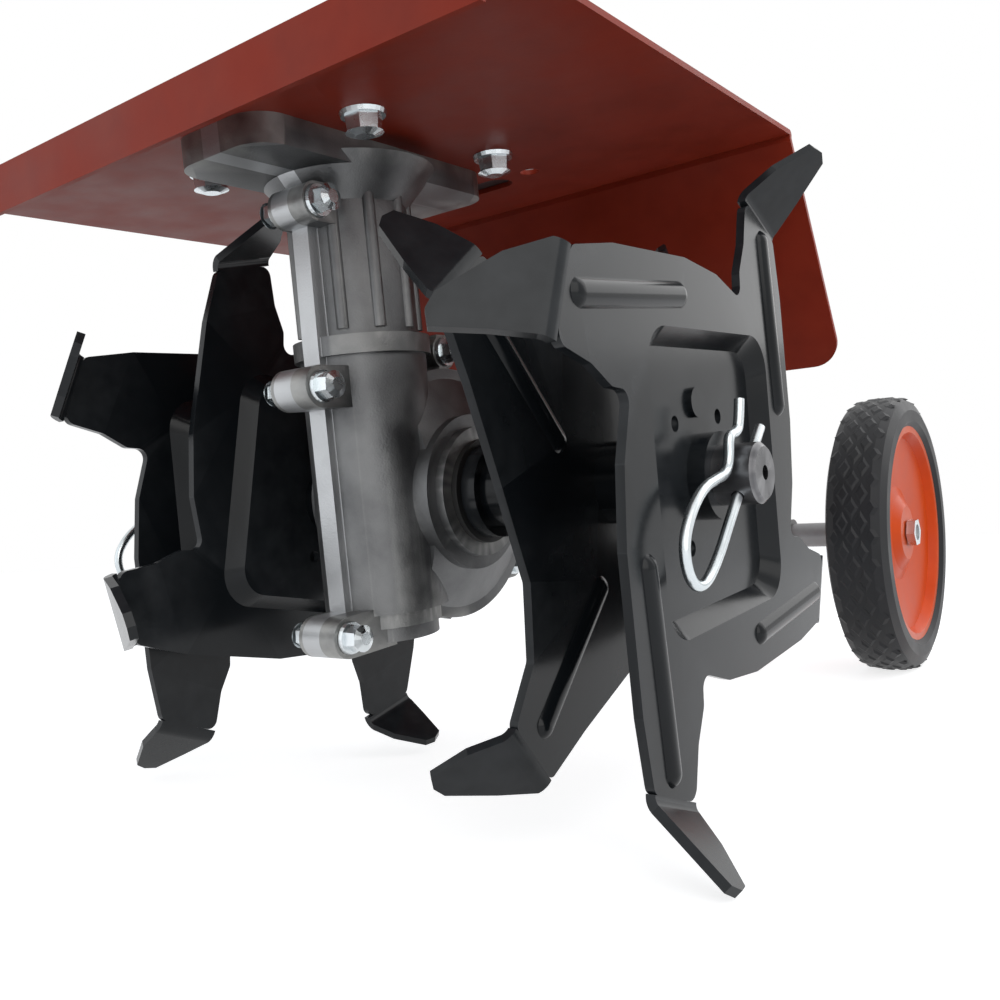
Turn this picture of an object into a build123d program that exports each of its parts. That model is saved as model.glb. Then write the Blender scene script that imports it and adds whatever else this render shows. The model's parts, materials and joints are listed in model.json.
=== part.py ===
from build123d import *
from math import sin, cos, radians, degrees, atan2, hypot, pi
import os

os.makedirs("parts", exist_ok=True)

# driving dimensions, mm, in the machine's own frame: tine shaft along X through the origin, front is -Y, up is +Z
shaftRadius = 10.0
shaftEnd = 145.8
hubRadius = 14.5
hubStart, hubEnd = 36.6, 131.5
pinX = 139.0
wireRadius = 2.0
plateT = 3.0
outerX, innerX = 130.0, 90.0
leftOuterX, leftInnerX = -94.0, -58.0
bendOut, bendSide = 89.5, 52.5
bendWidth, bendTurn = 27.3, 66.0
tipAngle, tipReach = 50.0, 28.0
columnY = -24.0
columnR = 24.0
housingR = 49.0
housingHalf = 20.0
bossR, bossX = 25.0, 33.6
hoodZ, hoodT = 130.0, 2.0
hoodHalf = 131.4
hoodFront, hoodBend = -112.0, 95.7
flapY, flapZ = 144.65, 38.1
wheelR, wheelW = 86.8, 35.0
wheelOuterX = 112.7
wheelY, wheelZ = 350.4, -61.7
rimR = 72.0
axleR = 5.0
pivotY, pivotZ = 212.0, 158.0
pivotR = 5.0

nodes = {}


def turnX(shape, angle):
    return shape.rotate(Axis.X, angle)


def rodX(r, x0, x1, y=0.0, z=0.0):
    return Pos((x0 + x1) / 2, y, z) * Rot(0, 90, 0) * Cylinder(r, x1 - x0)


def rodZ(r, z0, z1, x=0.0, y=0.0):
    return Pos(x, y, (z0 + z1) / 2) * Cylinder(r, z1 - z0)


def block(x0, x1, y0, y1, z0, z1):
    return Pos((x0 + x1) / 2, (y0 + y1) / 2, (z0 + z1) / 2) * Box(x1 - x0, y1 - y0, z1 - z0)


def yzPlane(x):
    return Plane(origin=(x, 0, 0), x_dir=(0, 1, 0), z_dir=(1, 0, 0))


def slab(points, x0, x1, r=0.0):
    wire = Polyline(*[(p[0], p[1]) for p in points], close=True)
    face = make_face(wire)
    if r:
        face = fillet(face.vertices(), r)
    solid = extrude(yzPlane(x0) * face, x1 - x0, dir=(1, 0, 0))
    return solid


def rod(p0, p1, r):
    a, b = Vector(*p0), Vector(*p1)
    d = b - a
    return Plane(origin=(a + b) / 2, z_dir=d) * Cylinder(r, d.length)


def quarter(points):
    out = []
    for k in range(4):
        c, s = cos(radians(-90 * k)), sin(radians(-90 * k))
        out += [(c * y - s * z, s * y + c * z) for y, z in points]
    return out


def bentTip(y, z, dirDeg, x, side, width, angle, reach, blunt, skew):
    """One blade's bend and tip: the bend line crosses the arm, the tip folds towards side * X."""
    n = Vector(0, cos(radians(dirDeg)), sin(radians(dirDeg)))
    plane = Plane(origin=(x, y, z), x_dir=n, z_dir=(side, 0, 0))
    rho = 5.0
    section = Plane(origin=(0, 0, 0), x_dir=(0, 1, 0), z_dir=(1, 0, 0)) * Rectangle(width, plateT)
    bend = revolve(section, Axis((0, 0, rho), (0, -1, 0)), angle)
    a = radians(angle)
    end = Plane(
        origin=(rho * sin(a), 0, rho * (1 - cos(a))),
        x_dir=(cos(a), 0, sin(a)),
        z_dir=(-sin(a), 0, cos(a)),
    )
    h = width / 2
    pts = [(-0.05, -h), (reach * 0.45, -h * 0.72 + skew * 0.4), (reach, -blunt + skew),
           (reach + 1.5, skew), (reach, blunt + skew), (reach * 0.45, h * 0.86 + skew * 0.4), (-0.05, h)]
    face = make_face(Polyline(*pts, close=True))
    tip = end * Pos(0, 0, -plateT / 2) * extrude(face, plateT)
    return plane * (bend + tip)


def bead(y0, z0, y1, z1, x, out, r=5.0, rise=2.2):
    """A pressed stiffening bead: a round-ended bar sunk into the sheet."""
    c = x + out * (plateT / 2 + rise - r)
    return (rod((c, y0, z0), (c, y1, z1), r) + Pos(c, y0, z0) * Sphere(r) + Pos(c, y1, z1) * Sphere(r)) & block(
        min(x, x + out * 12), max(x, x + out * 12), -200, 200, -200, 200)


outerQuarter = [(65, 84), (68, 62), (69, 16), (66, -8), (59, -28), (69, -29), (79, -35), (95, -40)]
innerQuarter = [(-10, 98), (-4, 78), (14, 62), (44, 52), (75, 42), (98, 36)]


def outerPlate(x, outward, turn, sides, over=False, angles=(tipAngle,) * 4, reach=tipReach, skews=(3.0, -12.0, -3.0, -12.0)):
    """Four-blade pinwheel with a dished square centre; outward is the side its hub end faces, sides the way each tip folds."""
    depth = 6.0
    half, wall = 42.0, 5.0
    sheet = slab(quarter(outerQuarter), x - plateT / 2, x + plateT / 2, 4.0)
    lo = x - outward * depth
    big = yzPlane(x + outward * plateT / 2) * RectangleRounded(2 * (half + wall), 2 * (half + wall), 13)
    small = yzPlane(lo + outward * plateT / 2) * RectangleRounded(2 * half, 2 * half, 10)
    dish = loft([big, small])
    bigB = yzPlane(x - outward * plateT / 2) * RectangleRounded(2 * (half + wall) + 3, 2 * (half + wall) + 3, 14)
    smallB = yzPlane(lo - outward * plateT / 2) * RectangleRounded(2 * half + 3, 2 * half + 3, 11)
    sheet = (sheet + loft([bigB, smallB])) - dish
    for k in range(4):
        c, s = cos(radians(90 * k)), sin(radians(90 * k))
        cy, cz = c * bendSide - s * bendOut, s * bendSide + c * bendOut
        sheet += bentTip(cy, cz, bendTurn + 90 * k, x, sides[k], bendWidth, angles[k], reach, 4.8, skews[k])
        ey, ez = c * 53 - s * 82, s * 53 + c * 82
        fy, fz = c * 57 - s * 22, s * 57 + c * 22
        sheet += bead(ey, ez, fy, fz, x, outward)
    mark = Vector(lo, -5.1, 24.5)
    sheet += rodX(5.0, min(lo, lo + outward * 3.2), max(lo, lo + outward * 3.2), mark.Y, mark.Z)
    holes = [(13.8, 19.5), (6.9, -25.3), (-20, 18), (-15, -22)]
    for y, z in holes:
        sheet -= rodX(2.6, x - 14, x + 14, y, z)
    sheet -= rodX(hubRadius, x - 20, x + 20)
    if over:
        sheet = sheet.mirror(Plane.XZ)
    return turnX(sheet, turn)


def innerPlate(x, inward, turn):
    """Four blades swirled the other way, every tip folded towards the gearcase."""
    sheet = slab(quarter(innerQuarter), x - plateT / 2, x + plateT / 2, 3.0)
    for k in range(4):
        c, s = cos(radians(90 * k)), sin(radians(90 * k))
        cy, cz = c * -23 - s * 98, s * -23 + c * 98
        sheet += bentTip(cy, cz, 90 + 90 * k, x, inward, 26.0, 52, 24.0, 4.5, 8.0)
        sheet += bead(c * -22 - s * 88, s * -22 + c * 88, c * -18 - s * 34, s * -18 + c * 34, x, -inward)
    sheet -= rodX(hubRadius, x - 20, x + 20)
    return turnX(sheet, turn)


# rotor
shaft = rodX(shaftRadius, -shaftEnd, shaftEnd)
shaft = chamfer(shaft.edges().group_by(Axis.X)[0] + shaft.edges().group_by(Axis.X)[-1], 1.6)
for s in (-1, 1):
    shaft -= rodX(2.4, min(s * shaftEnd, s * (shaftEnd - 5)), max(s * shaftEnd, s * (shaftEnd - 5)))
    pinDir = Vector(0, cos(radians(41)), sin(radians(41)))
    shaft -= rod((s * pinX, -20 * pinDir.Y, -20 * pinDir.Z), (s * pinX, 20 * pinDir.Y, 20 * pinDir.Z), wireRadius + 0.05)
nodes["tine_shaft"] = shaft


def hub(s):
    a, b = hubStart, hubEnd
    tube = rodX(hubRadius, min(s * a, s * b), max(s * a, s * b))
    tube += rodX(17.5, min(s * 122.0, s * 124.5), max(s * 122.0, s * 124.5))
    tube += rodX(18.0, min(s * a, s * (a + 6)), max(s * a, s * (a + 6)))
    return tube - rodX(shaftRadius, -200, 200)


nodes["tine_hub_right"] = hub(1)
nodes["tine_hub_left"] = hub(-1)
nodes["tine_plate_right_outer"] = outerPlate(outerX, 1, 0, (1, -1, 1, -1), reach=26.5) - nodes["tine_hub_right"]
nodes["tine_plate_right_inner"] = innerPlate(innerX, -1, -53)
nodes["tine_plate_left_outer"] = outerPlate(leftOuterX, -1, -1, (-1, 1, -1, 1), angles=(54, 64, 54, 64), reach=24.0, skews=(0, -8, 0, -8))
nodes["tine_plate_left_inner"] = outerPlate(leftInnerX, -1, -14, (1, 1, 1, 1), True, angles=(66,) * 4, reach=24.0, skews=(0, 0, 0, 0))


def hairpin(x):
    """Spring clip: one leg through the shaft, the waved leg hugging it from outside."""
    t = Vector(0, cos(radians(41)), sin(radians(41)))
    n = Vector(0, -sin(radians(41)), cos(radians(41)))
    def at(u, v):
        p = t * u + n * v
        return (x, p.Y, p.Z)
    bends = ((22, 0), (-38, 0), (-47, 3), (-51, 10), (-47, 18), (-38, 21), (-26, 19.5), (-17, 14.5), (-11, 12), (-5, 13), (0, 15.2), (5, 13.8), (9, 13.6), (16, 18))
    path = FilletPolyline(*[at(u, v) for u, v in bends], radius=4)
    section = Plane(origin=at(22, 0), z_dir=-t) * Circle(wireRadius)
    return sweep(section, path=path)


nodes["hairpin_right"] = hairpin(pinX)
nodes["hairpin_left"] = hairpin(-pinX)

# gearcase
case = rodZ(columnR, -41, 61, 0, columnY)
case += rodZ(22, 61, 119, 0, columnY)
case += Pos(0, columnY, 58) * Cylinder(26, 7)
case += rodX(housingR, -housingHalf, housingHalf) & block(-60, 60, columnY, 80, -80, 80)
cone = Solid.make_cone(housingR - 4, bossR + 2, 8, plane=Plane(origin=(housingHalf, 0, 0), z_dir=(1, 0, 0)))
case += (cone + cone.mirror(Plane.YZ)) & block(-60, 60, columnY, 80, -80, 80)
case += rodX(bossR, -bossX, bossX)
for k in range(10):
    a = radians(36 * k + 9)
    case += rodZ(2.4, 64, 118, 21.4 * cos(a), columnY + 21.4 * sin(a))
case += rodX(bossR + 5, -30.2, 30.2)
case += Solid.make_cone(22, 34, 14, plane=Plane(origin=(0, columnY, 110), z_dir=(0, 0, 1)))
rim = [(-51, 60), (-51, -44), (-20, -46), (8, -50), (34, -40), (50, -20), (53, 6), (46, 30), (30, 46), (6, 56),
       (4, 118), (-50, 118)]
case += slab(rim, -4.0, 4.0, 3.0)
lugs = ((-59, 43, 12, 7.5), (-58, -46, 12, 7.5), (-52, 108, 12, 7.0), (12, 57, 11, 7.0), (46, -34, 11, 7.0))
for y, z, half, r in lugs:
    toward = max(min(y - 4, 30), columnY - 10)
    case += rodX(r, -6, half, y, z)
    case += block(-6, half, min(y, toward), max(y, toward), z - r, z + r)
arm = Plane(origin=(0, columnY, 120)) * RectangleRounded(46, 124, 12)
case += extrude(arm, hoodZ - 120)
case -= rodX(16, -26, 26)
case -= rodX(12.5, -60, 60)
case -= rodZ(11, -60, 140, 0, columnY)
for y, z, half, r in lugs:
    case -= rodX(2.6, -30, 30, y, z)
cap = rodZ(19, -52, -46, 0, columnY) + rodZ(21.5, -46.5, -41, 0, columnY) + rodZ(10.9, -41.5, -32, 0, columnY)
nodes["gearcase_cap"] = cap
case -= cap
nodes["gearcase_right"] = case & block(0, 200, -200, 200, -200, 200)
nodes["gearcase_left"] = case & block(-200, 0, -200, 200, -200, 200)
for s, name in ((1, "shaft_seal_right"), (-1, "shaft_seal_left")):
    ring = rodX(20, min(s * bossX, s * 36.0), max(s * bossX, s * 36.0))
    ring += rodX(12.5, min(s * 27, s * bossX), max(s * 27, s * bossX))
    nodes[name] = ring - rodX(shaftRadius + 0.06, -60, 60)
drive = rodZ(11, 62, 158, 0, columnY) + rodZ(6, 158, 180, 0, columnY)
nodes["input_shaft"] = drive

# hood
top = extrude(Plane(origin=(0, (hoodFront + hoodBend) / 2, hoodZ)) * Rectangle(2 * hoodHalf, hoodBend - hoodFront), hoodT)
slope = atan2(hoodZ - flapZ, flapY - hoodBend)
flapLen = hypot(hoodZ - flapZ, flapY - hoodBend)
fp = Plane(origin=(0, hoodBend, hoodZ + hoodT), x_dir=(1, 0, 0), z_dir=(0, sin(slope), cos(slope)))
flapFace = make_face(Polyline((-hoodHalf, 0), (hoodHalf, 0), (hoodHalf, flapLen), (-hoodHalf, flapLen), close=True))
flapFace = fillet(flapFace.vertices().group_by(Axis.Y)[-1], 12)
flap = fp * extrude(flapFace, -hoodT)
hood = top + flap + rodX(hoodT, -hoodHalf, hoodHalf, hoodBend, hoodZ + 0.0) - block(-200, 200, -200, hoodBend, hoodZ - 10, hoodZ)
lip = block(-hoodHalf, hoodHalf, hoodFront - 2, hoodFront, hoodZ - 14, hoodZ + hoodT)
hood += lip
hood -= rodZ(6, 100, 140, -33.5, -98) + rodZ(4, 100, 140, 36.6, 49)
hood -= Pos(4, 52, 130) * Box(26, 14, 20)
hood -= rodZ(7, 100, 140, -9, 52) + rodZ(7, 100, 140, 17, 52)
for x in (-40, 40):
    for y in (-55, 18):
        hood -= rodZ(4.2, 100, 140, x, y)
hood -= rodZ(12, 100, 140, 0, columnY)
nodes["hood"] = hood

# motor mount on the hood, over the column
neckTop = 158.0
mount = extrude(Plane(origin=(0, columnY + 5.5, hoodZ + hoodT)) * RectangleRounded(104, 98, 14), 6)
mount += Solid.make_cone(42, 34, 14, plane=Plane(origin=(0, columnY, hoodZ + hoodT + 6), z_dir=(0, 0, 1)))
mount += rodZ(47, neckTop - 6, neckTop, 0, columnY)
mount -= rodZ(12.5, hoodZ + hoodT, neckTop + 1, 0, columnY)
for k in range(4):
    a = radians(45 + 90 * k)
    mount -= rodZ(3.3, neckTop - 10, neckTop + 1, 39 * cos(a), columnY + 39 * sin(a))
for x in (-40, 40):
    for y in (-55, 18):
        mount -= rodZ(4.2, 100, 150, x, y)
nodes["motor_mount"] = mount

# rear beam and clevis for the wheel leg
beam = block(-15, 15, 40, 196, hoodZ + hoodT, hoodZ + hoodT + 30)
beam -= block(-12.5, 12.5, 30, 197, hoodZ + hoodT + 2.5, hoodZ + hoodT + 27.5)
beam -= block(-60, 60, 30, 46, hoodZ + hoodT, 160)
for y in (84, 118):
    beam -= rodX(4.1, -40, 40, y, hoodZ + hoodT + 17)
beam = beam + block(-24, -15, 52, 90, hoodZ + hoodT, hoodZ + hoodT + 3) + block(15, 24, 52, 90, hoodZ + hoodT, hoodZ + hoodT + 3)
ear = extrude(yzPlane(15) * Pos((150 + pivotY) / 2, 153) * RectangleRounded(pivotY + 15 - 137, 40, 10), 4, dir=(1, 0, 0))
ear -= rodX(pivotR + 0.05, -60, 60, pivotY, pivotZ)
nodes["rear_beam"] = beam
nodes["clevis_right"] = ear
nodes["clevis_left"] = ear.mirror(Plane.YZ)
pin = rodX(pivotR, -24, 24, pivotY, pivotZ) + rodX(8.5, 24, 28, pivotY, pivotZ) + rodX(8.5, -28, -24, pivotY, pivotZ)
pin += rodX(9, 19, 21, pivotY, pivotZ) + rodX(9, -21, -19, pivotY, pivotZ)
nodes["pivot_pin"] = pin

# wheel leg, turning on the pin
legA, legB = (0, pivotY, pivotZ), (0, wheelY, wheelZ)
d = Vector(0, wheelY - pivotY, wheelZ - pivotZ)
L = d.length
lp = Plane(origin=legA, x_dir=(1, 0, 0), z_dir=d)
leg = lp * (Pos(0, 0, L / 2 + 4) * Box(20, 20, L - 34))
leg += rodX(11, -10, 10, pivotY, pivotZ) + lp * (Pos(0, 0, 12) * Box(20, 20, 24))
leg += rodX(11, -32, 32, wheelY, wheelZ)
for s in (-1, 1):
    a = lp * (Pos(0, 0, L - 62) * Box(1, 1, 1))
    leg += Solid.extrude(Face(Wire.make_polygon([lp.from_local_coords((s * 10, 4, L - 70)), lp.from_local_coords((s * 10, 4, L - 8)), lp.from_local_coords((s * 31, 4, L - 8))])), lp.y_dir * -8)
leg -= rodX(pivotR + 0.05, -60, 60, pivotY, pivotZ)
leg -= rodX(axleR, -60, 60, wheelY, wheelZ)
nodes["wheel_leg"] = leg
axle = rodX(axleR, -wheelOuterX + 2, wheelOuterX - 2, wheelY, wheelZ)
inX = wheelOuterX - wheelW
axle += rodX(8, 32, inX + 1, wheelY, wheelZ) + rodX(8, -inX - 1, -32, wheelY, wheelZ)
nodes["wheel_axle"] = axle
for s, name in ((1, "right"), (-1, "left")):
    n = rodX(axleR, 0, 1)
    a, b = sorted((s * (wheelOuterX - 6.0), s * (wheelOuterX - 1.0)))
    hexa = extrude(Plane(origin=(a, wheelY, wheelZ), x_dir=(0, 1, 0), z_dir=(1, 0, 0)) * RegularPolygon(9, 6), b - a)
    nodes["axle_nut_" + name] = hexa - rodX(axleR, -300, 300, wheelY, wheelZ)


def ringX(points, y, z):
    """Revolves (x, radius) points about the wheel's axis."""
    face = make_face(Polyline(*[(p[0], p[1]) for p in points], close=True))
    solid = revolve(face, Axis.X, 360)
    return Pos(0, y, z) * solid


def wheel(s):
    o, i = wheelOuterX, wheelOuterX - wheelW
    m = (o + i) / 2
    tyre = [(o - 2.5, rimR - 4), (o, rimR - 1), (o, rimR + 6), (o - 2.5, wheelR - 3), (o - 7, wheelR - 0.6), (m, wheelR),
            (i + 7, wheelR - 0.6), (i + 2.5, wheelR - 3), (i, rimR + 6), (i, rimR - 1), (i + 2.5, rimR - 4)]
    rimP = [(i + 2.5, rimR - 4), (o - 2.5, rimR - 4), (o - 2.5, rimR - 8), (o - 8, rimR - 11), (o - 13, 30), (o - 11, 24), (o - 7, 17),
            (o - 7, axleR + 0.05), (i + 2, axleR + 0.05), (i + 2, 13), (o - 22, 15), (o - 19, 30), (o - 15, rimR - 14), (i + 2.5, rimR - 9)]
    return (ringX([(s * x, r) for x, r in tyre], wheelY, wheelZ), ringX([(s * x, r) for x, r in rimP], wheelY, wheelZ))


for s, name in ((1, "right"), (-1, "left")):
    nodes["tyre_" + name], nodes["rim_" + name] = wheel(s)

# parked: nose down until the tines and both tyres stand on the floor
tines = [n for n in nodes if n.startswith("tine_plate")]
pitch = 0.0


def lowest(name, angle):
    return nodes[name].rotate(Axis.X, angle).bounding_box().min.Z


lo, hi = 0.0, 15.0
for _ in range(7):
    pitch = (lo + hi) / 2
    t = min(lowest(n, pitch) for n in tines)
    wc = wheelY * sin(radians(pitch)) + wheelZ * cos(radians(pitch)) - wheelR
    if wc < t:
        lo = pitch
    else:
        hi = pitch
t = min(lowest(n, pitch) for n in tines)
placed = {n: s.rotate(Axis.X, pitch) for n, s in nodes.items()}
boxes = [s.bounding_box() for s in placed.values()]
x0, x1 = min(b.min.X for b in boxes), max(b.max.X for b in boxes)
y0, y1 = min(b.min.Y for b in boxes), max(b.max.Y for b in boxes)
z0 = min(b.min.Z for b in boxes)
shift = (-(x0 + x1) / 2, -(y0 + y1) / 2, -z0)
print("pitch %.4f shift %.4f %.4f %.4f" % (pitch, *shift))
print("box", x1 - x0, y1 - y0, max(b.max.Z for b in boxes) - z0)


def parked(x, y, z):
    a = radians(pitch)
    return (x + shift[0], y * cos(a) - z * sin(a) + shift[1], y * sin(a) + z * cos(a) + shift[2])


for label, p in (("shaft", (0, 0, 0)), ("pivot", (0, pivotY, pivotZ)), ("axle", (0, wheelY, wheelZ)), ("mount", (0, columnY, neckTop)),
                 ("pinR", (pinX, 0, 0)), ("endR", (shaftEnd, 0, 0))):
    print(label, ["%.5f" % (v / 1000) for v in parked(*p)])
for n, s in placed.items():
    s = Pos(*shift) * s
    solids = s.solids()
    if len(solids) != 1:
        print("solids", n, len(solids), [round(q.volume) for q in solids])
    export_step(s if len(solids) > 1 else solids[0], "parts/%s.step" % n)
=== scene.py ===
import json
from math import sin, cos, pi, radians

import bpy
from mathutils import Matrix, Vector


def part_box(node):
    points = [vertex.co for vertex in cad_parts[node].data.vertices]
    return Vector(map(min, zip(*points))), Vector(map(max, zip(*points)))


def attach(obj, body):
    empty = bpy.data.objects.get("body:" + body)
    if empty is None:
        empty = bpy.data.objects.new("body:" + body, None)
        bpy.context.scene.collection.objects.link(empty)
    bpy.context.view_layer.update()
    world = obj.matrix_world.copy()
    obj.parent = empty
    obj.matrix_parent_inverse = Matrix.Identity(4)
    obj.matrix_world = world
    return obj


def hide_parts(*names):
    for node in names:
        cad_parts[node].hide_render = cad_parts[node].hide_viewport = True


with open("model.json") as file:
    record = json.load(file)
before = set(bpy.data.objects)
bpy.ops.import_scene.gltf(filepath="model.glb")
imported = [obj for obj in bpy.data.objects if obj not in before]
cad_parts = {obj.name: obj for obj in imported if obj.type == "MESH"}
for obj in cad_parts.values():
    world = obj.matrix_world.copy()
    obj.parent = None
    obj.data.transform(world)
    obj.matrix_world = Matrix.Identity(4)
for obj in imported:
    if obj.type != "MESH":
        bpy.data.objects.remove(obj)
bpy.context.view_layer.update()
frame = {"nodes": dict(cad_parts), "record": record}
nodes = frame["nodes"]

# the machine's own axes inside the parked frame: tine shaft at the origin, unit leaning nose down
machine = {"lean": radians(5.2734), "shaft": (-0.0041997, -0.1578691, 0.1160340)}
lean = Matrix.Translation(machine["shaft"]) @ Matrix.Rotation(machine["lean"], 4, "X")


# machine millimetres to the frame's metres
def place(x, y, z):
    return lean @ Vector((x / 1000, y / 1000, z / 1000))


camera = {"eye": (256.08, -296.21, 14.57), "azimuth": 36.0, "down": 2.89, "roll": -5.4, "focalPixels": 958.0,
          "picturePixels": 1000, "sensor": 36}


def makeCamera(c):
    a, e, r = radians(c["azimuth"]), radians(c["down"]), radians(c["roll"])
    ahead = Vector((-sin(a) * cos(e), cos(a) * cos(e), -sin(e)))
    side = Vector((cos(a), sin(a), 0))
    over = side.cross(ahead)
    right = cos(r) * side + sin(r) * over
    up = -sin(r) * side + cos(r) * over
    turn = Matrix((right, up, -ahead)).transposed().to_4x4()
    data = bpy.data.cameras.new("camera")
    data.sensor_width = c["sensor"]
    data.lens = c["focalPixels"] * c["sensor"] / c["picturePixels"]
    data.clip_start = 0.01
    cam = bpy.data.objects.new("camera", data)
    cam.matrix_world = Matrix.Translation(place(*c["eye"])) @ Matrix.Rotation(machine["lean"], 4, "X") @ turn
    bpy.context.collection.objects.link(cam)
    bpy.context.scene.camera = cam


makeCamera(camera)
print("camera placed")


def newGroup(name, inputs, outputs):
    g = bpy.data.node_groups.new(name, "ShaderNodeTree")
    for label, kind, value in inputs:
        s = g.interface.new_socket(label, in_out="INPUT", socket_type=kind)
        s.default_value = value
    for label, kind in outputs:
        g.interface.new_socket(label, in_out="OUTPUT", socket_type=kind)
    return g, g.nodes.new("NodeGroupInput"), g.nodes.new("NodeGroupOutput")


# fine and coarse unevenness of a painted or cast surface
def grainGroup():
    g, i, o = newGroup("surfaceGrain",
                       [("Fine Scale", "NodeSocketFloat", 900.0), ("Coarse Scale", "NodeSocketFloat", 40.0),
                        ("Mix", "NodeSocketFloat", 0.5)],
                       [("Height", "NodeSocketFloat"), ("Cloud", "NodeSocketFloat")])
    t, mix = g.nodes.new("ShaderNodeTexCoord"), g.nodes.new("ShaderNodeMix")
    fine, coarse = g.nodes.new("ShaderNodeTexNoise"), g.nodes.new("ShaderNodeTexNoise")
    coarse.inputs["Detail"].default_value = 5
    for n, label in ((fine, "Fine Scale"), (coarse, "Coarse Scale")):
        g.links.new(t.outputs["Object"], n.inputs["Vector"])
        g.links.new(i.outputs[label], n.inputs["Scale"])
    g.links.new(i.outputs["Mix"], mix.inputs["Factor"])
    g.links.new(fine.outputs["Fac"], mix.inputs["A"])
    g.links.new(coarse.outputs["Fac"], mix.inputs["B"])
    g.links.new(mix.outputs["Result"], o.inputs["Height"])
    g.links.new(coarse.outputs["Fac"], o.inputs["Cloud"])
    return g


# mask of rubbed edges, from the surface's pointiness broken up by noise; with the tine paint's light edge colour it
# lays a painted highlight along the folds
def wearAndSheenGroup():
    g, i, o = newGroup("edgeWearAndSheen",
                       [("From", "NodeSocketFloat", 0.53), ("To", "NodeSocketFloat", 0.6),
                        ("Break Up", "NodeSocketFloat", 120.0)],
                       [("Mask", "NodeSocketFloat")])
    kinds = ("TexCoord", "TexNoise", "NewGeometry", "MapRange", "Math")
    t, noise, geo, m, p = (g.nodes.new("ShaderNode" + k) for k in kinds)
    p.operation = "MULTIPLY"
    g.links.new(t.outputs["Object"], noise.inputs["Vector"])
    g.links.new(i.outputs["Break Up"], noise.inputs["Scale"])
    g.links.new(geo.outputs["Pointiness"], m.inputs["Value"])
    g.links.new(i.outputs["From"], m.inputs["From Min"])
    g.links.new(i.outputs["To"], m.inputs["From Max"])
    g.links.new(m.outputs["Result"], p.inputs[0])
    g.links.new(noise.outputs["Fac"], p.inputs[1])
    g.links.new(p.outputs["Value"], o.inputs["Mask"])
    return g


# band along the plane where the two gearcase halves meet, on the side ahead of the column
def seamGroup():
    g, i, o = newGroup("seamBand",
                       [("Half Width", "NodeSocketFloat", 0.0043), ("Behind", "NodeSocketFloat", -0.197)],
                       [("Mask", "NodeSocketFloat")])
    kinds = ("TexCoord", "SeparateXYZ", "Math", "Math", "Math", "Math")
    t, split, away, near, ahead, both = (g.nodes.new("ShaderNode" + k) for k in kinds)
    away.operation, near.operation, ahead.operation, both.operation = "SUBTRACT", "COMPARE", "LESS_THAN", "MULTIPLY"
    away.inputs[1].default_value = machine["shaft"][0]
    near.inputs[1].default_value = 0.0
    g.links.new(t.outputs["Object"], split.inputs[0])
    g.links.new(split.outputs[0], away.inputs[0])
    g.links.new(away.outputs[0], near.inputs[0])
    g.links.new(i.outputs["Half Width"], near.inputs[2])
    g.links.new(split.outputs[1], ahead.inputs[0])
    g.links.new(i.outputs["Behind"], ahead.inputs[1])
    g.links.new(near.outputs[0], both.inputs[0])
    g.links.new(ahead.outputs[0], both.inputs[1])
    g.links.new(both.outputs[0], o.inputs["Mask"])
    return g


grain, wearAndSheen, seam = grainGroup(), wearAndSheenGroup(), seamGroup()
cloudSpread = {"colour": (0.35, 0.65), "roughness": (0.3, 0.7)}  # the stretch of the cloud that blends
coatRoughness = 0.08
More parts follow.
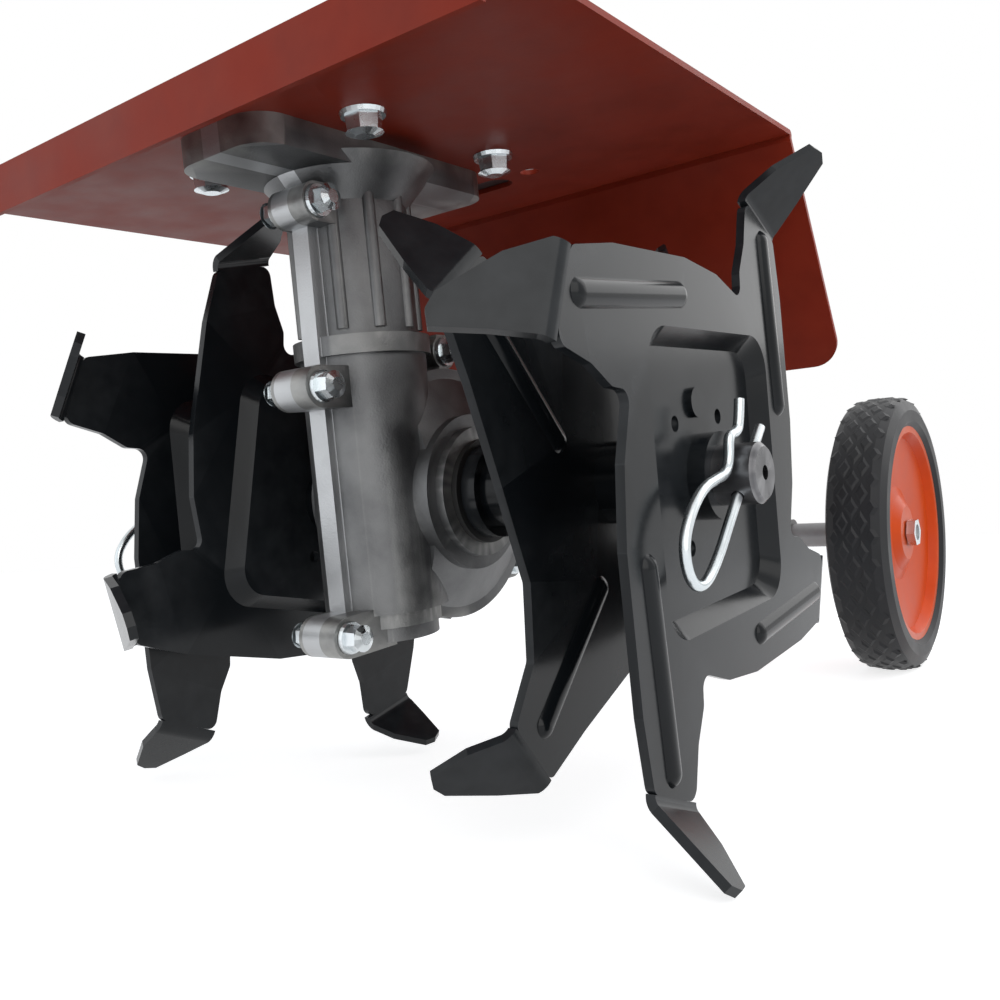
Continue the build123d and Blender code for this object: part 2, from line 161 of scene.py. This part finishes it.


# one finish: base and second colour mixed by cloud, lighter edges (wear, and on the tine paint a painted highlight
# along the folds), grain bump
def finishMaterial(name, f):
    m = bpy.data.materials.new(name)
    m.use_nodes = True
    n, l = m.node_tree.nodes, m.node_tree.links
    b = n["Principled BSDF"]
    b.inputs["IOR"].default_value = 1.5
    b.inputs["Metallic"].default_value = f.get("metallic", 0.0)
    b.inputs["Coat Weight"].default_value = f.get("coat", 0.0)
    b.inputs["Coat Roughness"].default_value = coatRoughness
    b.inputs["Specular IOR Level"].default_value = f.get("shine", 0.5)
    g, w = n.new("ShaderNodeGroup"), n.new("ShaderNodeGroup")
    g.node_tree, w.node_tree = grain, wearAndSheen
    g.inputs["Fine Scale"].default_value = f.get("fine", 900.0)
    g.inputs["Coarse Scale"].default_value = f.get("coarse", 40.0)
    g.inputs["Mix"].default_value = f.get("grainMix", 0.4)
    cloud, edge = n.new("ShaderNodeMix"), n.new("ShaderNodeMix")
    for x in (cloud, edge):
        x.data_type = "RGBA"
    stretch = n.new("ShaderNodeMapRange")
    stretch.inputs["From Min"].default_value, stretch.inputs["From Max"].default_value = cloudSpread["colour"]
    l.new(g.outputs["Cloud"], stretch.inputs["Value"])
    l.new(stretch.outputs["Result"], cloud.inputs[0])
    cloud.inputs[6].default_value = (*f["colour"], 1)
    cloud.inputs[7].default_value = (*f.get("second", f["colour"]), 1)
    wearAndSheenBy = n.new("ShaderNodeMath")
    wearAndSheenBy.operation = "MULTIPLY"
    wearAndSheenBy.inputs[1].default_value = f.get("wearAndSheen", 0.0)
    l.new(w.outputs["Mask"], wearAndSheenBy.inputs[0])
    l.new(wearAndSheenBy.outputs["Value"], edge.inputs[0])
    l.new(cloud.outputs[2], edge.inputs[6])
    edge.inputs[7].default_value = (*f.get("edge", f["colour"]), 1)
    last = edge
    if "seam" in f:
        last, band = n.new("ShaderNodeMix"), n.new("ShaderNodeGroup")
        last.data_type, band.node_tree = "RGBA", seam
        l.new(band.outputs["Mask"], last.inputs[0])
        l.new(edge.outputs[2], last.inputs[6])
        last.inputs[7].default_value = (*f["seam"], 1)
    l.new(last.outputs[2], b.inputs["Base Color"])
    rough = n.new("ShaderNodeMapRange")
    rough.inputs["To Min"].default_value = f["rough"][0]
    rough.inputs["To Max"].default_value = f["rough"][1]
    rough.inputs["From Min"].default_value, rough.inputs["From Max"].default_value = cloudSpread["roughness"]
    l.new(g.outputs["Cloud"], rough.inputs["Value"])
    l.new(rough.outputs["Result"], b.inputs["Roughness"])
    bump = n.new("ShaderNodeBump")
    bump.inputs["Strength"].default_value = f.get("bump", 0.1)
    bump.inputs["Distance"].default_value = f.get("bumpDepth", 0.0003)
    l.new(g.outputs["Height"], bump.inputs["Height"])
    l.new(bump.outputs["Normal"], b.inputs["Normal"])
    return m


finishes = {
    "castAlloy": {"colour": (0.125, 0.127, 0.13), "second": (0.2, 0.203, 0.205), "seam": (0.5, 0.51, 0.52),
                  "edge": (0.5, 0.5, 0.48), "wearAndSheen": 0.9, "metallic": 0.85, "rough": (0.36, 0.52),
                  "fine": 1400.0, "coarse": 60.0, "grainMix": 0.3, "bump": 0.35, "bumpDepth": 0.0004},
    # the tine paint's light edge colour is a painted highlight along the folds, not wear
    "tinePaint": {"colour": (0.006, 0.0075, 0.009), "second": (0.009, 0.011, 0.013), "edge": (0.05, 0.054, 0.058),
                  "wearAndSheen": 0.6, "rough": (0.14, 0.22), "shine": 0.22, "coarse": 22.0, "fine": 300.0,
                  "grainMix": 0.75, "bump": 0.12, "bumpDepth": 0.0004},
    # the hood's orange paint is darkened here to a dark red: painted shade for its underside
    "hoodPaintShaded": {"colour": (0.2, 0.0135, 0.003), "second": (0.24, 0.017, 0.005), "edge": (0.4, 0.05, 0.016),
                  "wearAndSheen": 0.3, "rough": (0.42, 0.55), "shine": 0.2, "fine": 700.0, "bump": 0.12},
    "framePaint": {"colour": (0.012, 0.012, 0.014), "second": (0.018, 0.018, 0.02), "edge": (0.06, 0.06, 0.06),
                   "wearAndSheen": 0.5, "rough": (0.3, 0.42), "coat": 0.3, "bump": 0.1},
    "zincSteel": {"colour": (0.55, 0.6, 0.62), "second": (0.66, 0.7, 0.72), "edge": (0.85, 0.88, 0.9), "wearAndSheen": 0.5,
                  "metallic": 1.0, "rough": (0.2, 0.32), "coarse": 90.0, "bump": 0.08},
    "bareSteel": {"colour": (0.05, 0.05, 0.055), "second": (0.08, 0.08, 0.085), "edge": (0.35, 0.35, 0.36), "wearAndSheen": 0.9,
                  "metallic": 0.9, "rough": (0.25, 0.38), "coarse": 120.0, "bump": 0.1},
    "greySteel": {"colour": (0.2, 0.2, 0.205), "second": (0.26, 0.26, 0.265), "edge": (0.5, 0.5, 0.5), "wearAndSheen": 0.5,
                  "metallic": 0.6, "rough": (0.35, 0.5), "bump": 0.1},
    "tyreRubber": {"colour": (0.008, 0.0085, 0.01), "second": (0.013, 0.0135, 0.016), "rough": (0.4, 0.55),
                   "fine": 1200.0, "bump": 0.2, "bumpDepth": 0.0003, "shine": 0.3},
    "rimPlastic": {"colour": (0.7, 0.075, 0.008), "second": (0.76, 0.09, 0.011), "edge": (0.95, 0.2, 0.07), "wearAndSheen": 0.4,
                   "rough": (0.28, 0.38), "shine": 0.15, "bump": 0.04},
    "sealRubber": {"colour": (0.01, 0.01, 0.01), "rough": (0.5, 0.65), "bump": 0.15},
}
finish = {name: finishMaterial(name, f) for name, f in finishes.items()}
slotFinish = {"cast_alloy": "castAlloy", "seal_rubber": "sealRubber", "bare_steel": "bareSteel",
              "hood_paint": "hoodPaintShaded", "frame_paint": "framePaint", "tine_paint": "tinePaint",
              "zinc_steel": "zincSteel", "grey_steel": "greySteel", "tyre": "tyreRubber",
              "rim_plastic": "rimPlastic"}
for entry in frame["record"]["subparts"]:
    o = nodes[entry["node"]]
    for s in o.material_slots:
        s.material = finish[slotFinish[entry["material_slot"]]]
print("finishes made:", len(finish))


def newTree(name, sockets):
    t = bpy.data.node_groups.new(name, "GeometryNodeTree")
    t.interface.new_socket("Geometry", in_out="INPUT", socket_type="NodeSocketGeometry")
    for label, kind, value in sockets:
        s = t.interface.new_socket(label, in_out="INPUT", socket_type=kind)
        if value is not None:
            s.default_value = value
    t.interface.new_socket("Geometry", in_out="OUTPUT", socket_type="NodeSocketGeometry")
    return t, t.nodes.new("NodeGroupInput"), t.nodes.new("NodeGroupOutput")


def finishTree(t, shape, gin, gout):
    realize, setMat = t.nodes.new("GeometryNodeRealizeInstances"), t.nodes.new("GeometryNodeSetMaterial")
    t.links.new(shape, realize.inputs[0])
    t.links.new(realize.outputs[0], setMat.inputs["Geometry"])
    t.links.new(gin.outputs["Finish"], setMat.inputs["Material"])
    t.links.new(setMat.outputs[0], gout.inputs[0])


# runs a tree on a cloud of points and keeps the plain mesh, riding on a body
def bake(name, points, tree, values, body):
    seedMesh = bpy.data.meshes.new(name + "Seed")
    seedMesh.from_pydata([tuple(p) for p in points], [], [])
    seed = bpy.data.objects.new(name + "Seed", seedMesh)
    bpy.context.collection.objects.link(seed)
    mod = seed.modifiers.new("nodes", "NODES")
    mod.node_group = tree
    for item in tree.interface.items_tree:
        if item.item_type == "SOCKET" and item.in_out == "INPUT" and item.name in values:
            mod[item.identifier] = values[item.name]
    dg = bpy.context.evaluated_depsgraph_get()
    mesh = bpy.data.meshes.new_from_object(seed.evaluated_get(dg), depsgraph=dg)
    bpy.data.objects.remove(seed)
    piece = bpy.data.objects.new(name, mesh)
    bpy.context.collection.objects.link(piece)
    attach(piece, body)
    return piece


boltShape = {"headRadius": 0.0065, "headHeight": 0.0055, "headTaper": 0.9, "headLift": 0.0012,
             "washerRadius": 0.008, "washerTaper": 0.94, "washerHeight": 0.0014,
             "endTaper": 0.5, "endHeight": 0.0012, "endLift": 0.0066}


# a flanged hex bolt on every point, all turned one way
def boltTree():
    b = boltShape
    t, gin, gout = newTree("hexBolts", [("Head Radius", "NodeSocketFloat", b["headRadius"]),
                                        ("Head Height", "NodeSocketFloat", b["headHeight"]),
                                        ("Washer Radius", "NodeSocketFloat", b["washerRadius"]),
                                        ("Turn", "NodeSocketVector", None), ("Finish", "NodeSocketMaterial", None)])

    def drum(sides, radius, taper, height, lift):
        c, tr = t.nodes.new("GeometryNodeMeshCone"), t.nodes.new("GeometryNodeTransform")
        top = t.nodes.new("ShaderNodeMath")
        top.operation = "MULTIPLY"
        top.inputs[1].default_value = taper
        c.inputs["Vertices"].default_value = sides
        t.links.new(radius, c.inputs["Radius Bottom"])
        t.links.new(radius, top.inputs[0])
        t.links.new(top.outputs[0], c.inputs["Radius Top"])
        if isinstance(height, float):
            c.inputs["Depth"].default_value = height
        else:
            t.links.new(height, c.inputs["Depth"])
        t.links.new(c.outputs["Mesh"], tr.inputs["Geometry"])
        tr.inputs["Translation"].default_value = (0, 0, lift)
        return tr.outputs[0]

    join, inst = t.nodes.new("GeometryNodeJoinGeometry"), t.nodes.new("GeometryNodeInstanceOnPoints")
    for s in (drum(6, gin.outputs["Head Radius"], b["headTaper"], gin.outputs["Head Height"], b["headLift"]),
              drum(24, gin.outputs["Washer Radius"], b["washerTaper"], b["washerHeight"], 0.0),
              drum(16, gin.outputs["Head Radius"], b["endTaper"], b["endHeight"], b["endLift"])):
        t.links.new(s, join.inputs[0])
    t.links.new(gin.outputs["Geometry"], inst.inputs["Points"])
    t.links.new(join.outputs[0], inst.inputs["Instance"])
    t.links.new(gin.outputs["Turn"], inst.inputs["Rotation"])
    finishTree(t, inst.outputs[0], gin, gout)
    return t


bolts = boltTree()
caseBolts = {"places": ((-59, 43), (-58, -46), (-52, 108), (12, 57), (46, -34)), "headAt": -6.2,
             "nutAt": (12.2, 12.2, 12.2, 11.2, 11.2), "headRadius": 0.0048, "headHeight": 0.0045,
             "washerRadius": 0.006}
hoodBolts = {"x": (-40, 40), "y": (-55, 18), "hoodUnder": 129.9, "mountTop": 138.0, "nutLift": 0.7,
             "nutHeight": 0.005}


def makeBolts():
    h, c, zinc = hoodBolts, caseBolts, finish["zincSteel"]
    under = [place(x, y, h["hoodUnder"]) for x in h["x"] for y in h["y"]]
    top = [place(x, y, h["mountTop"] + h["nutLift"]) for x in h["x"] for y in h["y"]]
    bake("hoodBoltHeads", under, bolts, {"Turn": (machine["lean"] + pi, 0, 0), "Finish": zinc},
         "chassis")
    bake("hoodNuts", top, bolts,
         {"Turn": (machine["lean"], 0, 0), "Head Height": h["nutHeight"], "Finish": zinc},
         "chassis")
    for side, name in ((-1, "caseBoltHeads"), (1, "caseNuts")):
        pts = [place(c["headAt"] if side < 0 else x, y, z) for (y, z), x in zip(c["places"], c["nutAt"])]
        bake(name, pts, bolts,
             {"Turn": (0, side * pi / 2, 0), "Head Radius": c["headRadius"], "Washer Radius": c["washerRadius"],
              "Head Height": c["headHeight"], "Finish": zinc},
             "chassis")


makeBolts()
print("bolts set")


tread = {"radius": 0.0862, "perRow": 32, "rows": (-0.0102, -0.0051, 0.0, 0.0051, 0.0102), "length": 0.0079,
         "width": 0.0047, "rise": 0.0013, "topShare": 0.5, "crown": 0.0011}


# diamond blocks standing on the tyre's crown, each row half a step from the next
def treadTree():
    t, gin, gout = newTree("diamondTread", [("Radius", "NodeSocketFloat", tread["radius"]),
                                            ("Count", "NodeSocketInt", tread["perRow"]),
                                            ("Length", "NodeSocketFloat", tread["length"]),
                                            ("Width", "NodeSocketFloat", tread["width"]),
                                            ("Rise", "NodeSocketFloat", tread["rise"]),
                                            ("Centre", "NodeSocketVector", None),
                                            ("Finish", "NodeSocketMaterial", None)])
    cone, shape = t.nodes.new("GeometryNodeMeshCone"), t.nodes.new("GeometryNodeTransform")
    size = t.nodes.new("ShaderNodeCombineXYZ")
    cone.inputs["Vertices"].default_value = 4
    cone.inputs["Radius Top"].default_value = tread["topShare"]
    cone.inputs["Radius Bottom"].default_value = 1.0
    cone.inputs["Depth"].default_value = 1.0
    t.links.new(gin.outputs["Width"], size.inputs[0])
    t.links.new(gin.outputs["Length"], size.inputs[1])
    t.links.new(gin.outputs["Rise"], size.inputs[2])
    t.links.new(cone.outputs["Mesh"], shape.inputs["Geometry"])
    t.links.new(size.outputs[0], shape.inputs["Scale"])
    join = t.nodes.new("GeometryNodeJoinGeometry")
    for k, x in enumerate(tread["rows"]):
        line, index = t.nodes.new("GeometryNodeMeshLine"), t.nodes.new("GeometryNodeInputIndex")
        t.links.new(gin.outputs["Count"], line.inputs["Count"])
        add, div, mul = (t.nodes.new("ShaderNodeMath") for _ in range(3))
        add.operation, div.operation, mul.operation = "ADD", "DIVIDE", "MULTIPLY"
        add.inputs[1].default_value = 0.5 * (k % 2)
        mul.inputs[1].default_value = 2 * pi
        t.links.new(index.outputs[0], add.inputs[0])
        t.links.new(add.outputs[0], div.inputs[0])
        t.links.new(gin.outputs["Count"], div.inputs[1])
        t.links.new(div.outputs[0], mul.inputs[0])
        angle = mul.outputs[0]
        lower = t.nodes.new("ShaderNodeMath")  # outer rows sit lower on the crown
        lower.operation = "SUBTRACT"
        lower.inputs[1].default_value = tread["crown"] * (x / tread["rows"][-1]) ** 2
        t.links.new(gin.outputs["Radius"], lower.inputs[0])
        parts = []
        for op in ("SINE", "COSINE"):
            f, r = t.nodes.new("ShaderNodeMath"), t.nodes.new("ShaderNodeMath")
            f.operation, r.operation = op, "MULTIPLY"
            t.links.new(angle, f.inputs[0])
            t.links.new(f.outputs[0], r.inputs[0])
            t.links.new(lower.outputs[0], r.inputs[1])
            parts.append(r)
        minus, at = t.nodes.new("ShaderNodeMath"), t.nodes.new("ShaderNodeCombineXYZ")
        put = t.nodes.new("GeometryNodeSetPosition")
        minus.operation = "MULTIPLY"
        minus.inputs[1].default_value = -1
        t.links.new(parts[0].outputs[0], minus.inputs[0])
        at.inputs[0].default_value = x
        t.links.new(minus.outputs[0], at.inputs[1])
        t.links.new(parts[1].outputs[0], at.inputs[2])
        t.links.new(line.outputs[0], put.inputs["Geometry"])
        t.links.new(at.outputs[0], put.inputs["Position"])
        turn, inst = t.nodes.new("ShaderNodeCombineXYZ"), t.nodes.new("GeometryNodeInstanceOnPoints")
        t.links.new(angle, turn.inputs[0])
        t.links.new(put.outputs[0], inst.inputs["Points"])
        t.links.new(shape.outputs[0], inst.inputs["Instance"])
        t.links.new(turn.outputs[0], inst.inputs["Rotation"])
        t.links.new(inst.outputs[0], join.inputs[0])
    move = t.nodes.new("GeometryNodeTransform")
    t.links.new(join.outputs[0], move.inputs["Geometry"])
    t.links.new(gin.outputs["Centre"], move.inputs["Translation"])
    finishTree(t, move.outputs[0], gin, gout)
    return t


diamonds = treadTree()
for side in ("right", "left"):
    lo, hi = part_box("tyre_" + side)
    centre = tuple((a + b) / 2 for a, b in zip(lo, hi))
    bake("tread_" + side, [(0, 0, 0)], diamonds,
         {"Radius": tread["radius"], "Count": tread["perRow"], "Length": tread["length"], "Width": tread["width"],
          "Rise": tread["rise"], "Centre": centre, "Finish": finish["tyreRubber"]},
         "wheel_" + side)
print("tread set")


hairpin = {"x": 139.0, "lean": 41.0, "wire": 0.0017, "stepsAround": 4, "stepsAlong": 10,
           "line": ((22, 0), (4, 0), (-20, 0), (-36, -0.4), (-49, 2), (-54, 10), (-49, 20), (-38, 22.5), (-26, 20.5),
                    (-17, 15), (-11, 11), (-5, 12), (0, 17), (5, 13.5), (9, 13), (16, 18))}


# the spring clip as one smooth round wire, in place of the solid's straight runs
def makeHairpin(side, name):
    data = bpy.data.curves.new(name, "CURVE")
    data.dimensions, data.bevel_depth = "3D", hairpin["wire"]
    data.bevel_resolution, data.use_fill_caps = hairpin["stepsAround"], True
    line = data.splines.new("NURBS")
    line.points.add(len(hairpin["line"]) - 1)
    c, s = cos(radians(hairpin["lean"])), sin(radians(hairpin["lean"]))
    for p, (u, v) in zip(line.points, hairpin["line"]):
        p.co = (*place(side * hairpin["x"], c * u - s * v, s * u + c * v), 1)
    line.order_u, line.use_endpoint_u, line.resolution_u = 3, True, hairpin["stepsAlong"]
    wire = bpy.data.objects.new(name + "Line", data)
    bpy.context.collection.objects.link(wire)
    dg = bpy.context.evaluated_depsgraph_get()
    mesh = bpy.data.meshes.new_from_object(wire.evaluated_get(dg), depsgraph=dg)
    bpy.data.objects.remove(wire)
    mesh.materials.clear()
    mesh.materials.append(finish["zincSteel"])
    mesh.shade_smooth()
    piece = bpy.data.objects.new(name, mesh)
    bpy.context.collection.objects.link(piece)
    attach(piece, "rotor")
    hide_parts("hairpin_right" if side > 0 else "hairpin_left")


makeHairpin(1, "springClipRight")
makeHairpin(-1, "springClipLeft")
print("spring clips set")


rimRibs = {"count": 10, "inner": 0.016, "outer": 0.0625, "thick": 0.0022, "depth": 0.009, "setBack": 0.0075}


# moulded ribs standing on the rim's disc, like spokes
def ribTree():
    t, gin, gout = newTree("rimRibs", [("Count", "NodeSocketInt", rimRibs["count"]),
                                       ("Inner", "NodeSocketFloat", rimRibs["inner"]),
                                       ("Outer", "NodeSocketFloat", rimRibs["outer"]),
                                       ("Thick", "NodeSocketFloat", rimRibs["thick"]),
                                       ("Depth", "NodeSocketFloat", rimRibs["depth"]),
                                       ("Centre", "NodeSocketVector", None),
                                       ("Finish", "NodeSocketMaterial", None)])
    line, index = t.nodes.new("GeometryNodeMeshLine"), t.nodes.new("GeometryNodeInputIndex")
    cube, size = t.nodes.new("GeometryNodeMeshCube"), t.nodes.new("ShaderNodeCombineXYZ")
    length, middle, half, share, angle = (t.nodes.new("ShaderNodeMath") for _ in range(5))
    length.operation, middle.operation, share.operation = "SUBTRACT", "ADD", "DIVIDE"
    half.operation = angle.operation = "MULTIPLY"
    half.inputs[1].default_value = 0.5
    angle.inputs[1].default_value = 2 * pi
    for m in (length, middle):
        t.links.new(gin.outputs["Outer"], m.inputs[0])
        t.links.new(gin.outputs["Inner"], m.inputs[1])
    t.links.new(middle.outputs[0], half.inputs[0])
    t.links.new(gin.outputs["Depth"], size.inputs[0])
    t.links.new(gin.outputs["Thick"], size.inputs[1])
    t.links.new(length.outputs[0], size.inputs[2])
    t.links.new(size.outputs[0], cube.inputs["Size"])
    lift, up = t.nodes.new("GeometryNodeTransform"), t.nodes.new("ShaderNodeCombineXYZ")
    t.links.new(half.outputs[0], up.inputs[2])
    t.links.new(cube.outputs["Mesh"], lift.inputs["Geometry"])
    t.links.new(up.outputs[0], lift.inputs["Translation"])
    line.inputs["Offset"].default_value = (0, 0, 0)
    t.links.new(gin.outputs["Count"], line.inputs["Count"])
    t.links.new(index.outputs[0], share.inputs[0])
    t.links.new(gin.outputs["Count"], share.inputs[1])
    t.links.new(share.outputs[0], angle.inputs[0])
    inst, move = t.nodes.new("GeometryNodeInstanceOnPoints"), t.nodes.new("GeometryNodeTransform")
    spin = t.nodes.new("ShaderNodeCombineXYZ")
    t.links.new(angle.outputs[0], spin.inputs[0])
    t.links.new(line.outputs[0], inst.inputs["Points"])
    t.links.new(lift.outputs[0], inst.inputs["Instance"])
    t.links.new(spin.outputs[0], inst.inputs["Rotation"])
    t.links.new(inst.outputs[0], move.inputs["Geometry"])
    t.links.new(gin.outputs["Centre"], move.inputs["Translation"])
    finishTree(t, move.outputs[0], gin, gout)
    return t


ribs = ribTree()
for side, out in (("right", 1), ("left", -1)):
    lo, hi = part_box("tyre_" + side)
    mid = [(a + b) / 2 for a, b in zip(lo, hi)]
    mid[0] -= out * rimRibs["setBack"]  # the ribs stand on the disc's inner face
    bake("rimRibs_" + side, [(0, 0, 0)], ribs,
         {"Count": rimRibs["count"], "Inner": rimRibs["inner"], "Outer": rimRibs["outer"],
          "Thick": rimRibs["thick"], "Depth": rimRibs["depth"], "Centre": tuple(mid),
          "Finish": finish["rimPlastic"]},
         "wheel_" + side)
print("rim ribs set")


studio = {"floorColour": (0.62, 0.62, 0.62), "floorRough": 0.9, "floorLift": 0.76, "floorSize": 6.0,
          "worldLight": 0.42, "worldColour": (0.8, 0.86, 0.95)}


# one for camera, glossy and see-through rays, nought for the light that falls on the machine
def whiteRays(n, l):
    path, first, both = n.new("ShaderNodeLightPath"), n.new("ShaderNodeMath"), n.new("ShaderNodeMath")
    first.operation = both.operation = "MAXIMUM"
    l.new(path.outputs["Is Camera Ray"], first.inputs[0])
    l.new(path.outputs["Is Glossy Ray"], first.inputs[1])
    l.new(first.outputs[0], both.inputs[0])
    l.new(path.outputs["Is Transmission Ray"], both.inputs[1])
    return both.outputs[0]


def makeFloor():
    mesh = bpy.data.meshes.new("floor")
    h = studio["floorSize"] / 2
    mesh.from_pydata([(-h, -h, 0), (h, -h, 0), (h, h, 0), (-h, h, 0)], [], [(0, 1, 2, 3)])
    o = bpy.data.objects.new("floor", mesh)
    bpy.context.collection.objects.link(o)
    m = bpy.data.materials.new("floorPale")
    m.use_nodes = True
    n, l = m.node_tree.nodes, m.node_tree.links
    pale = n["Principled BSDF"]
    pale.inputs["Base Color"].default_value = (*studio["floorColour"], 1)
    pale.inputs["Roughness"].default_value = studio["floorRough"]
    glow, add, lift = n.new("ShaderNodeEmission"), n.new("ShaderNodeAddShader"), n.new("ShaderNodeMath")
    lift.operation = "MULTIPLY"
    lift.inputs[1].default_value = studio["floorLift"]
    l.new(whiteRays(n, l), lift.inputs[0])
    l.new(lift.outputs[0], glow.inputs["Strength"])
    l.new(pale.outputs[0], add.inputs[0])
    l.new(glow.outputs[0], add.inputs[1])
    l.new(add.outputs[0], n["Material Output"].inputs[0])
    o.data.materials.append(m)


def makeWorld():
    w = bpy.data.worlds.new("studio")
    bpy.context.scene.world = w
    w.use_nodes = True
    n, l = w.node_tree.nodes, w.node_tree.links
    n.clear()
    out, mix = n.new("ShaderNodeOutputWorld"), n.new("ShaderNodeMixShader")
    lit, white = n.new("ShaderNodeBackground"), n.new("ShaderNodeBackground")
    lit.inputs[0].default_value = (*studio["worldColour"], 1)
    lit.inputs[1].default_value = studio["worldLight"]
    white.inputs[0].default_value = (1, 1, 1, 1)
    l.new(whiteRays(n, l), mix.inputs[0])
    l.new(lit.outputs[0], mix.inputs[1])
    l.new(white.outputs[0], mix.inputs[2])
    l.new(mix.outputs[0], out.inputs[0])


lamps = {
    "key": {"at": (900, -600, 700), "size": 1.3, "power": 8.0, "colour": (1, 0.98, 0.95)},
    "fill": {"at": (-700, -900, 250), "size": 1.4, "power": 3.0, "colour": (0.9, 0.95, 1)},
    "rear": {"at": (500, 1000, 700), "size": 1.3, "power": 6.0, "colour": (1, 1, 1)},
}


def makeLamps():
    aim = place(0, 60, 0)
    for name, v in lamps.items():
        data = bpy.data.lights.new(name, "AREA")
        data.shape, data.size, data.energy, data.color = "SQUARE", v["size"], v["power"], v["colour"]
        o = bpy.data.objects.new(name, data)
        at = place(*v["at"])
        o.matrix_world = Matrix.Translation(at) @ (aim - at).to_track_quat("-Z", "Y").to_matrix().to_4x4()
        bpy.context.collection.objects.link(o)


makeFloor()
makeWorld()
makeLamps()
bpy.context.scene.view_settings.view_transform = "Standard"
print("studio set")
